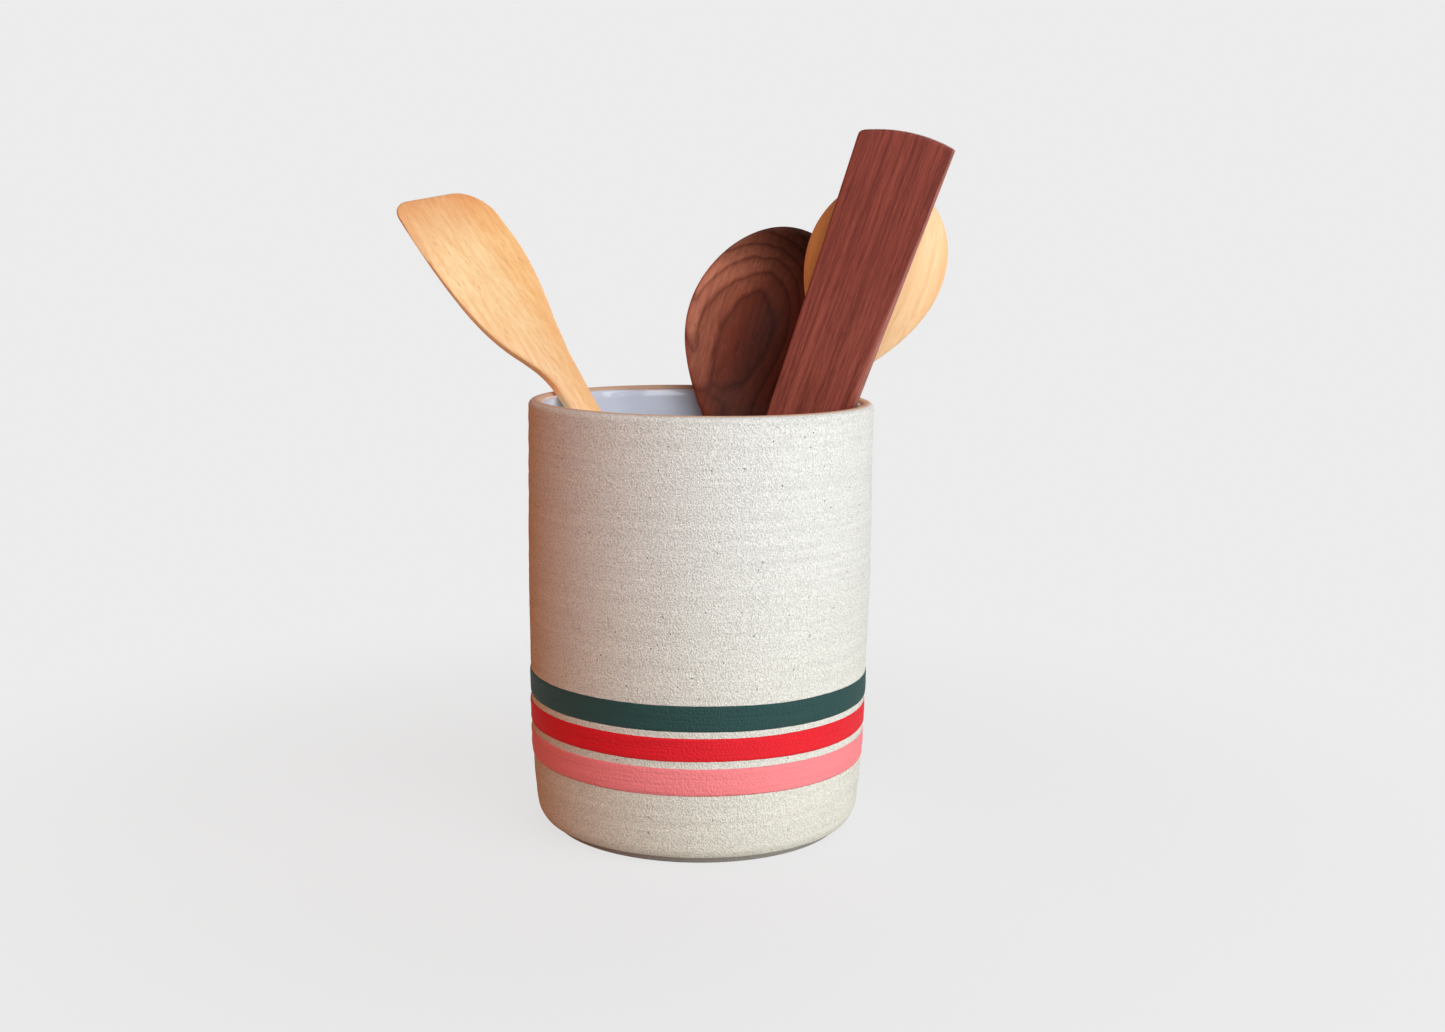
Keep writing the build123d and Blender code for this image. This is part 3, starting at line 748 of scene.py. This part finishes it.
class CROCK_OT_carve_turner(bpy.types.Operator):
    """Carve the cherry turner, with a flat canted blade and a slanted tip."""
    bl_idname = "crock.carve_turner"
    bl_label = "Carve the turner"

    def execute(self, context):
        sizes = context.scene.utensils
        matrix, rim = utensil_matrix("turner", sizes.turner_facing)
        tip_above_rim = 102.2
        tip = rim + tip_above_rim
        along = rows_along(((0, 0.6), (4, 5), (rim - 10, 1.6), (tip - 18, 0.8), (tip - 4, 0.25), (tip, 0)))
        up = along - rim
        left = curve_through(((-rim, 5.6), (-40, 6.2), (0, 6.7), (7, 6.8), (13, 8.1), (20, 11.2),
                              (27, 14.8), (36, 18.2), (47, 20.6), (58, 21.7), (74, 22.2), (90, 21.6),
                              (110, 19.8)), up)
        right = curve_through(((-rim, 5.6), (-40, 6.3), (0, 7.4), (10, 8.9), (16, 9.9), (23, 11.8),
                               (32, 14.2), (41, 17.2), (51, 20.0), (61, 22.1), (71, 23.0), (82, 23.0),
                               (110, 22.2)), up)
        left_corner, right_corner = 7, 14
        left -= left_corner * round_over(tip - along, left_corner)
        right -= right_corner * round_over(tip - along, right_corner)
        slant = -math.tan(math.radians(sizes.turner_tip_slant)) * smooth_step(rim + 60, tip - 8, along)
        outline = Outline(along, -left, right, slope=slant)
        above = outline.z - rim
        handle_thickness, less_at_rim, less_at_tip = 8.6, 0.8, 5.2
        thickness = handle_thickness - less_at_rim * smooth_step(-60, 0, above)
        thickness -= less_at_tip * smooth_step(-4, 112, above)
        half_width = np.minimum(left, right)[:, None]
        edge = half_width * (1 - 0.55 * smooth_step(8, 50, above))
        half = thickness / 2 * (1 - 0.72 * round_over(outline.inwards, edge))
        middle = math.tan(math.radians(sizes.turner_cant)) * soft_max(above, 0, 64)
        nick_width = 2.0
        nick = nick_width * smooth_step(tip - 30, tip - 20, outline.z)
        nick *= smooth_step(tip - 6, tip - 14, outline.z)
        cut = bevel(outline.x + left[:, None], nick, steepness=0.5)
        carve("cherry_turner", outline, middle - half + cut, middle + half, matrix, cherry, "turner")
        return {"FINISHED"}


class CROCK_OT_saw_paddle(bpy.types.Operator):
    """Saw the padauk paddle, straight and widening, with eased edges and a crowned end."""
    bl_idname = "crock.saw_paddle"
    bl_label = "Saw the straight paddle"

    def execute(self, context):
        sizes = context.scene.utensils
        matrix, rim = utensil_matrix("straight_paddle", sizes.paddle_facing)
        end_above_rim = 112.8
        top = rim + end_above_rim
        along = rows_along(((0, 0.4), (3, 4), (top - 20, 2), (top - 3, 0.35), (top, 0)))

        # Half widths: at the rim, how much more they are 113 mm above it, and how round their corner is
        left, right = (at_rim + (along - rim) * widening / 113 - corner * round_over(top - along, corner)
                       for at_rim, widening, corner in ((17.3, 2.9, 1.6), (16.1, 1.5, 0.7)))
        share = smooth_step(rim + 40, top - 6, along)
        outline = Outline(along, -left, right, slope=0.11 * share, crown=0.0084 * share)
        edge = sizes.paddle_edge_mm
        half = sizes.paddle_thickness_mm / 2 - edge * round_over(outline.inwards, edge)
        worn = sizes.paddle_bevel_mm * smooth_step(top - 15, rim, outline.z)
        cut = bevel(right[:, None] - outline.x, worn, steepness=1.3)
        front = np.minimum(-half + cut, half - THINNEST_MM)
        carve("padauk_paddle", outline, front, half, matrix, padauk, "straight_paddle")
        return {"FINISHED"}


def bowl_share(along):
    """Half width of a spoon's bowl against its widest; along runs from 0 at the neck to 1 at the tip."""
    widest = 0.6
    towards_neck = np.cos(math.pi / 2 * (1 - np.clip(along / widest, 0, 1))) ** 0.8
    towards_tip = np.sqrt(np.clip(1 - ((along - widest) / (1 - widest)) ** 2, 0, 1))
    return np.where(along < widest, towards_neck, towards_tip)


def carve_spoon(name, body, facing, neck_from_rim, length, width, depth, hollow, skew, wood_of):
    """Spoon whose bowl starts at the neck; its hollow is in front, and its handle runs into its back."""
    matrix, rim = utensil_matrix(body, facing)
    neck = rim + neck_from_rim
    tip = neck + length
    along = rows_along(((0, 0.6), (4, 5), (neck - 6, 1.2), (tip - 12, 0.7), (tip - 3, 0.2), (tip - 0.02, 0)))
    share = (along - neck) / length

    # Outline: the handle swells towards the neck and ends within the bowl
    foot_half, swelling, ending = 5.4, 0.6, 4.5
    handle = foot_half + swelling * np.clip(along / neck, 0, 1) - ending * smooth_step(0.1, 0.4, share)
    bowl = width / 2 * bowl_share(share)
    half_width = soft_max(handle, bowl, 1.5)
    half_width = np.where(share > 0.5, np.minimum(half_width, bowl), half_width)
    middle = skew * smooth_step(0.35, 1.0, share)
    outline = Outline(along, middle - half_width, middle + half_width)
    x, z, inwards = outline.x - middle[:, None], outline.z, outline.inwards
    share = (z - neck) / length

    # Bowl: rim plane in front, round back, hollow inside the rim
    front_plane, rim_thickness, rim_width, edge_radius, hollow_start = -3.5, 3.0, 1.8, 1.4, 0.1
    edge = edge_radius * round_over(inwards, edge_radius)
    hollow_share = (share - hollow_start) / (1 - hollow_start - rim_width / length)
    dip = (bowl_share(hollow_share) ** 2 - (x / (width / 2 - rim_width)) ** 2) * hollow
    dip = np.where((share > hollow_start) & (share < 1), soft_max(dip, 0, 0.5), 0.0)
    bulge = np.clip(bowl_share(share) ** 2 - (x / (width / 2)) ** 2, 0, 1) ** 0.8 * (depth - rim_thickness)
    bowl_front = front_plane + edge + dip
    bowl_back = front_plane + rim_thickness - edge + bulge

    # Handle: oval, running down into the back of the bowl as a spine
    spine_half, spine_height, under_all = 6, 5, -9.0
    stops = (0, 0.14, 0.4, 0.5)
    spine = np.interp(share, stops, (1, 0.8, 0.3, 0.05))
    level = np.interp(share, stops, (0, 0.45, 0.9, 0.95)) * (depth + front_plane) * bowl_share(share) ** 2
    oval = np.sqrt(np.clip(1 - (x / (spine_half * spine)) ** 2, 0, 1)) * spine_height * spine
    ridge = np.where(oval > 0, level + oval, under_all)
    bowl_back = soft_max(bowl_back, ridge, 0.8) - 0.2 * (ridge > under_all)
    handle_half, handle_edge = 4.9, 5.8
    round_handle = handle_half * (1 - 0.94 * round_over(inwards, handle_edge))
    into_bowl = smooth_step(-0.03, 0.16, share)
    front = -round_handle * (1 - into_bowl) + bowl_front * into_bowl
    back = round_handle * (1 - into_bowl) + bowl_back * into_bowl
    back = np.maximum(back, front + THINNEST_MM)
    carve(name, outline, front, back, matrix, wood_of, body)


class CROCK_OT_carve_walnut_spoon(bpy.types.Operator):
    """Carve the walnut spoon, its hollow towards the front."""
    bl_idname = "crock.carve_walnut_spoon"
    bl_label = "Carve the walnut spoon"

    def execute(self, context):
        sizes = context.scene.utensils
        carve_spoon("walnut_serving_spoon", "walnut_spoon", facing=0, neck_from_rim=-25, length=99,
                    width=sizes.walnut_bowl_mm, depth=15, hollow=sizes.walnut_hollow_mm, skew=5,
                    wood_of=walnut)
        return {"FINISHED"}


class CROCK_OT_carve_maple_spoon(bpy.types.Operator):
    """Carve the maple spoon, its round back towards the front."""
    bl_idname = "crock.carve_maple_spoon"
    bl_label = "Carve the maple spoon"

    def execute(self, context):
        sizes = context.scene.utensils
        carve_spoon("maple_serving_spoon", "maple_spoon", facing=180, neck_from_rim=8, length=84,
                    width=sizes.maple_bowl_mm, depth=12, hollow=sizes.maple_hollow_mm, skew=0,
                    wood_of=maple)
        return {"FINISHED"}


# Stage

def paint_stage():
    """Floor and backdrop: a plain pale colour to the camera and in reflections, with the object's shadow.

    The light that it throws back is that of a wooden worktop at the left and of a pale cloth at the right.
    """
    stage = bpy.context.scene.stage
    material = bpy.data.materials.new("pale_backdrop_paper")
    tree = bare_tree(material)
    plain = add(tree, "Emission", {"Color": linear(stage.backdrop_colour), "Strength": 1.0})
    rays = add(tree, "LightPath")
    seen = add(tree, "Math", {0: rays.outputs["Is Camera Ray"], 1: rays.outputs["Is Glossy Ray"]},
               operation="MAXIMUM")
    place = add(tree, "TexCoord").outputs["Object"]
    parts = add(tree, "SeparateXYZ", {0: place})
    wood_until, cloth_from = -0.15, 0.1
    pale = add(tree, "MapRange", {"Value": parts.outputs["X"]}, span=(wood_until, cloth_from),
               interpolation_type="SMOOTHSTEP")
    either = add(tree, "Math", {0: seen, 1: pale}, operation="MAXIMUM")
    shade = add(tree, "Mix", {FACTOR: either, COLOUR_A: linear(stage.bounce_colour),
                              COLOUR_B: linear(stage.backdrop_colour)}, data_type="RGBA")
    paper = add(tree, "BsdfDiffuse", {"Color": shade.outputs[2]})
    distance = add(tree, "VectorMath", {0: place}, operation="LENGTH")
    shadow_fades_from, shadow_ends, shadowless_share = 0.1, 0.42, 0.84
    far = add(tree, "MapRange", {"Value": distance.outputs["Value"]}, interpolation_type="SMOOTHSTEP",
              span=(shadow_fades_from, shadow_ends, shadowless_share, 1.0))
    share = add(tree, "Math", {0: seen, 1: far}, operation="MULTIPLY")
    mixed = add(tree, "MixShader", {0: share, 1: paper, 2: plain})
    add(tree, "OutputMaterial", {"Surface": mixed})
    return material


def add_lamp(name, azimuth, elevation, distance, width, height, power, tint):
    """Soft rectangular lamp that points at the crock; azimuth counts from the front towards the right."""
    lamp = bpy.data.lights.new(name, "AREA")
    lamp.shape = "RECTANGLE"
    lamp.size, lamp.size_y = width, height
    lamp.energy = power
    lamp.color = linear(tint)[:3]
    holder = bpy.data.objects.new(name, lamp)
    bpy.context.scene.collection.objects.link(holder)
    turn, rise = math.radians(azimuth), math.radians(elevation)
    away = Vector((math.sin(turn) * math.cos(rise), -math.cos(turn) * math.cos(rise), math.sin(rise)))
    holder.location = Vector((0, 0, 0.1)) + distance * away
    holder.rotation_euler = (-away).to_track_quat("-Z", "Y").to_euler()


class CROCK_OT_set_stage(bpy.types.Operator):
    """Set the camera, the lamps, the world, and the pale floor that curves up behind."""
    bl_idname = "crock.set_stage"
    bl_label = "Set the stage"

    def execute(self, context):
        scene = context.scene
        stage = scene.stage
        scene.view_settings.view_transform = "Standard"

        # Camera: solved from the rim, foot and band ellipses of the photograph
        pitch, yaw, roll = (math.radians(degrees) for degrees in (9.14, -0.29, 0.77))
        place_mm, lens_mm = (12.8, -714, 242.26), 43.81
        forward = Vector((math.sin(yaw) * math.cos(pitch), math.cos(yaw) * math.cos(pitch),
                          -math.sin(pitch)))
        level = forward.cross(Vector((0, 0, 1))).normalized()
        upright = level.cross(forward)
        right = level * math.cos(roll) + upright * math.sin(roll)
        up = upright * math.cos(roll) - level * math.sin(roll)
        camera = bpy.data.objects.new("camera", bpy.data.cameras.new("camera"))
        camera.data.lens = lens_mm
        camera.data.sensor_width = 36
        matrix = Matrix((right, up, -forward)).transposed().to_4x4()
        matrix.translation = Vector(place_mm) * MM
        camera.matrix_world = matrix
        scene.collection.objects.link(camera)
        scene.camera = camera

        # Floor that curves up into a backdrop, in metres; the curve's radius is 1
        front, bend, half_width, height = -3.0, 1.2, 4.0, 4.0
        rows = [(front, 0.0), (bend, 0.0)]
        rows += [(bend + math.sin(turn), 1 - math.cos(turn)) for turn in np.linspace(0.1, math.pi / 2, 16)]
        rows.append((bend + 1, height))
        points = [(side, y, z) for y, z in rows for side in (-half_width, half_width)]
        faces = [(2 * row, 2 * row + 1, 2 * row + 3, 2 * row + 2) for row in range(len(rows) - 1)]
        floor = mesh_object("floor", points, faces, paint_stage())

        add_lamp("key_lamp", azimuth=39, elevation=27, distance=1.6, width=2.9, height=1.1,
                 power=stage.key_power, tint="#FAFCFF")
        add_lamp("warm_lamp", azimuth=-82, elevation=10, distance=1.3, width=1.0, height=0.8,
                 power=stage.warm_power, tint="#FF7C0A")
        add_lamp("back_lamp", azimuth=165, elevation=32, distance=1.6, width=1.6, height=1.0,
                 power=stage.back_power, tint="#FFFFFF")

        world = bpy.data.worlds.new("studio")
        tree = bare_tree(world)
        rays = add(tree, "LightPath")
        soft = add(tree, "Background", {"Color": linear("#FFE2C4"), "Strength": stage.world_strength})
        plain = add(tree, "Background", {"Color": linear(stage.backdrop_colour), "Strength": 1.0})
        mixed = add(tree, "MixShader", {0: rays.outputs["Is Camera Ray"], 1: soft, 2: plain})
        add(tree, "OutputWorld", {"Surface": mixed})
        scene.world = world
        return {"FINISHED"}


class CROCK_PT_panel(bpy.types.Panel):
    """Lists the steps that make the crock."""
    bl_label = "Utensil crock"
    bl_idname = "CROCK_PT_panel"
    bl_space_type = "VIEW_3D"
    bl_region_type = "UI"
    bl_category = "Crock"

    def draw(self, context):
        for step in steps:
            self.layout.operator(step.bl_idname)


steps = (CROCK_OT_throw_body, CROCK_OT_pour_glaze, CROCK_OT_brush_bands, CROCK_OT_carve_turner,
         CROCK_OT_saw_paddle, CROCK_OT_carve_walnut_spoon, CROCK_OT_carve_maple_spoon, CROCK_OT_set_stage)
settings = {"crock": CrockSettings, "utensils": UtensilSettings, "stage": StageSettings}


def register():
    """Registers the settings, steps and panel."""
    for name, group in settings.items():
        bpy.utils.register_class(group)
        setattr(bpy.types.Scene, name, bpy.props.PointerProperty(type=group))
    for item in (*steps, CROCK_PT_panel):
        bpy.utils.register_class(item)


def unregister():
    """Takes the panel, steps and settings out again."""
    for item in (CROCK_PT_panel, *reversed(steps)):
        bpy.utils.unregister_class(item)
    for name, group in settings.items():
        delattr(bpy.types.Scene, name)
        bpy.utils.unregister_class(group)


def main():
    """Makes the whole scene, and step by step."""
    register()
    bpy.ops.crock.throw_body()
    bpy.ops.crock.pour_glaze()
    bpy.ops.crock.brush_bands()
    bpy.ops.crock.carve_turner()
    bpy.ops.crock.saw_paddle()
    bpy.ops.crock.carve_walnut_spoon()
    bpy.ops.crock.carve_maple_spoon()
    bpy.ops.crock.set_stage()


if __name__ == "__main__":
    main()
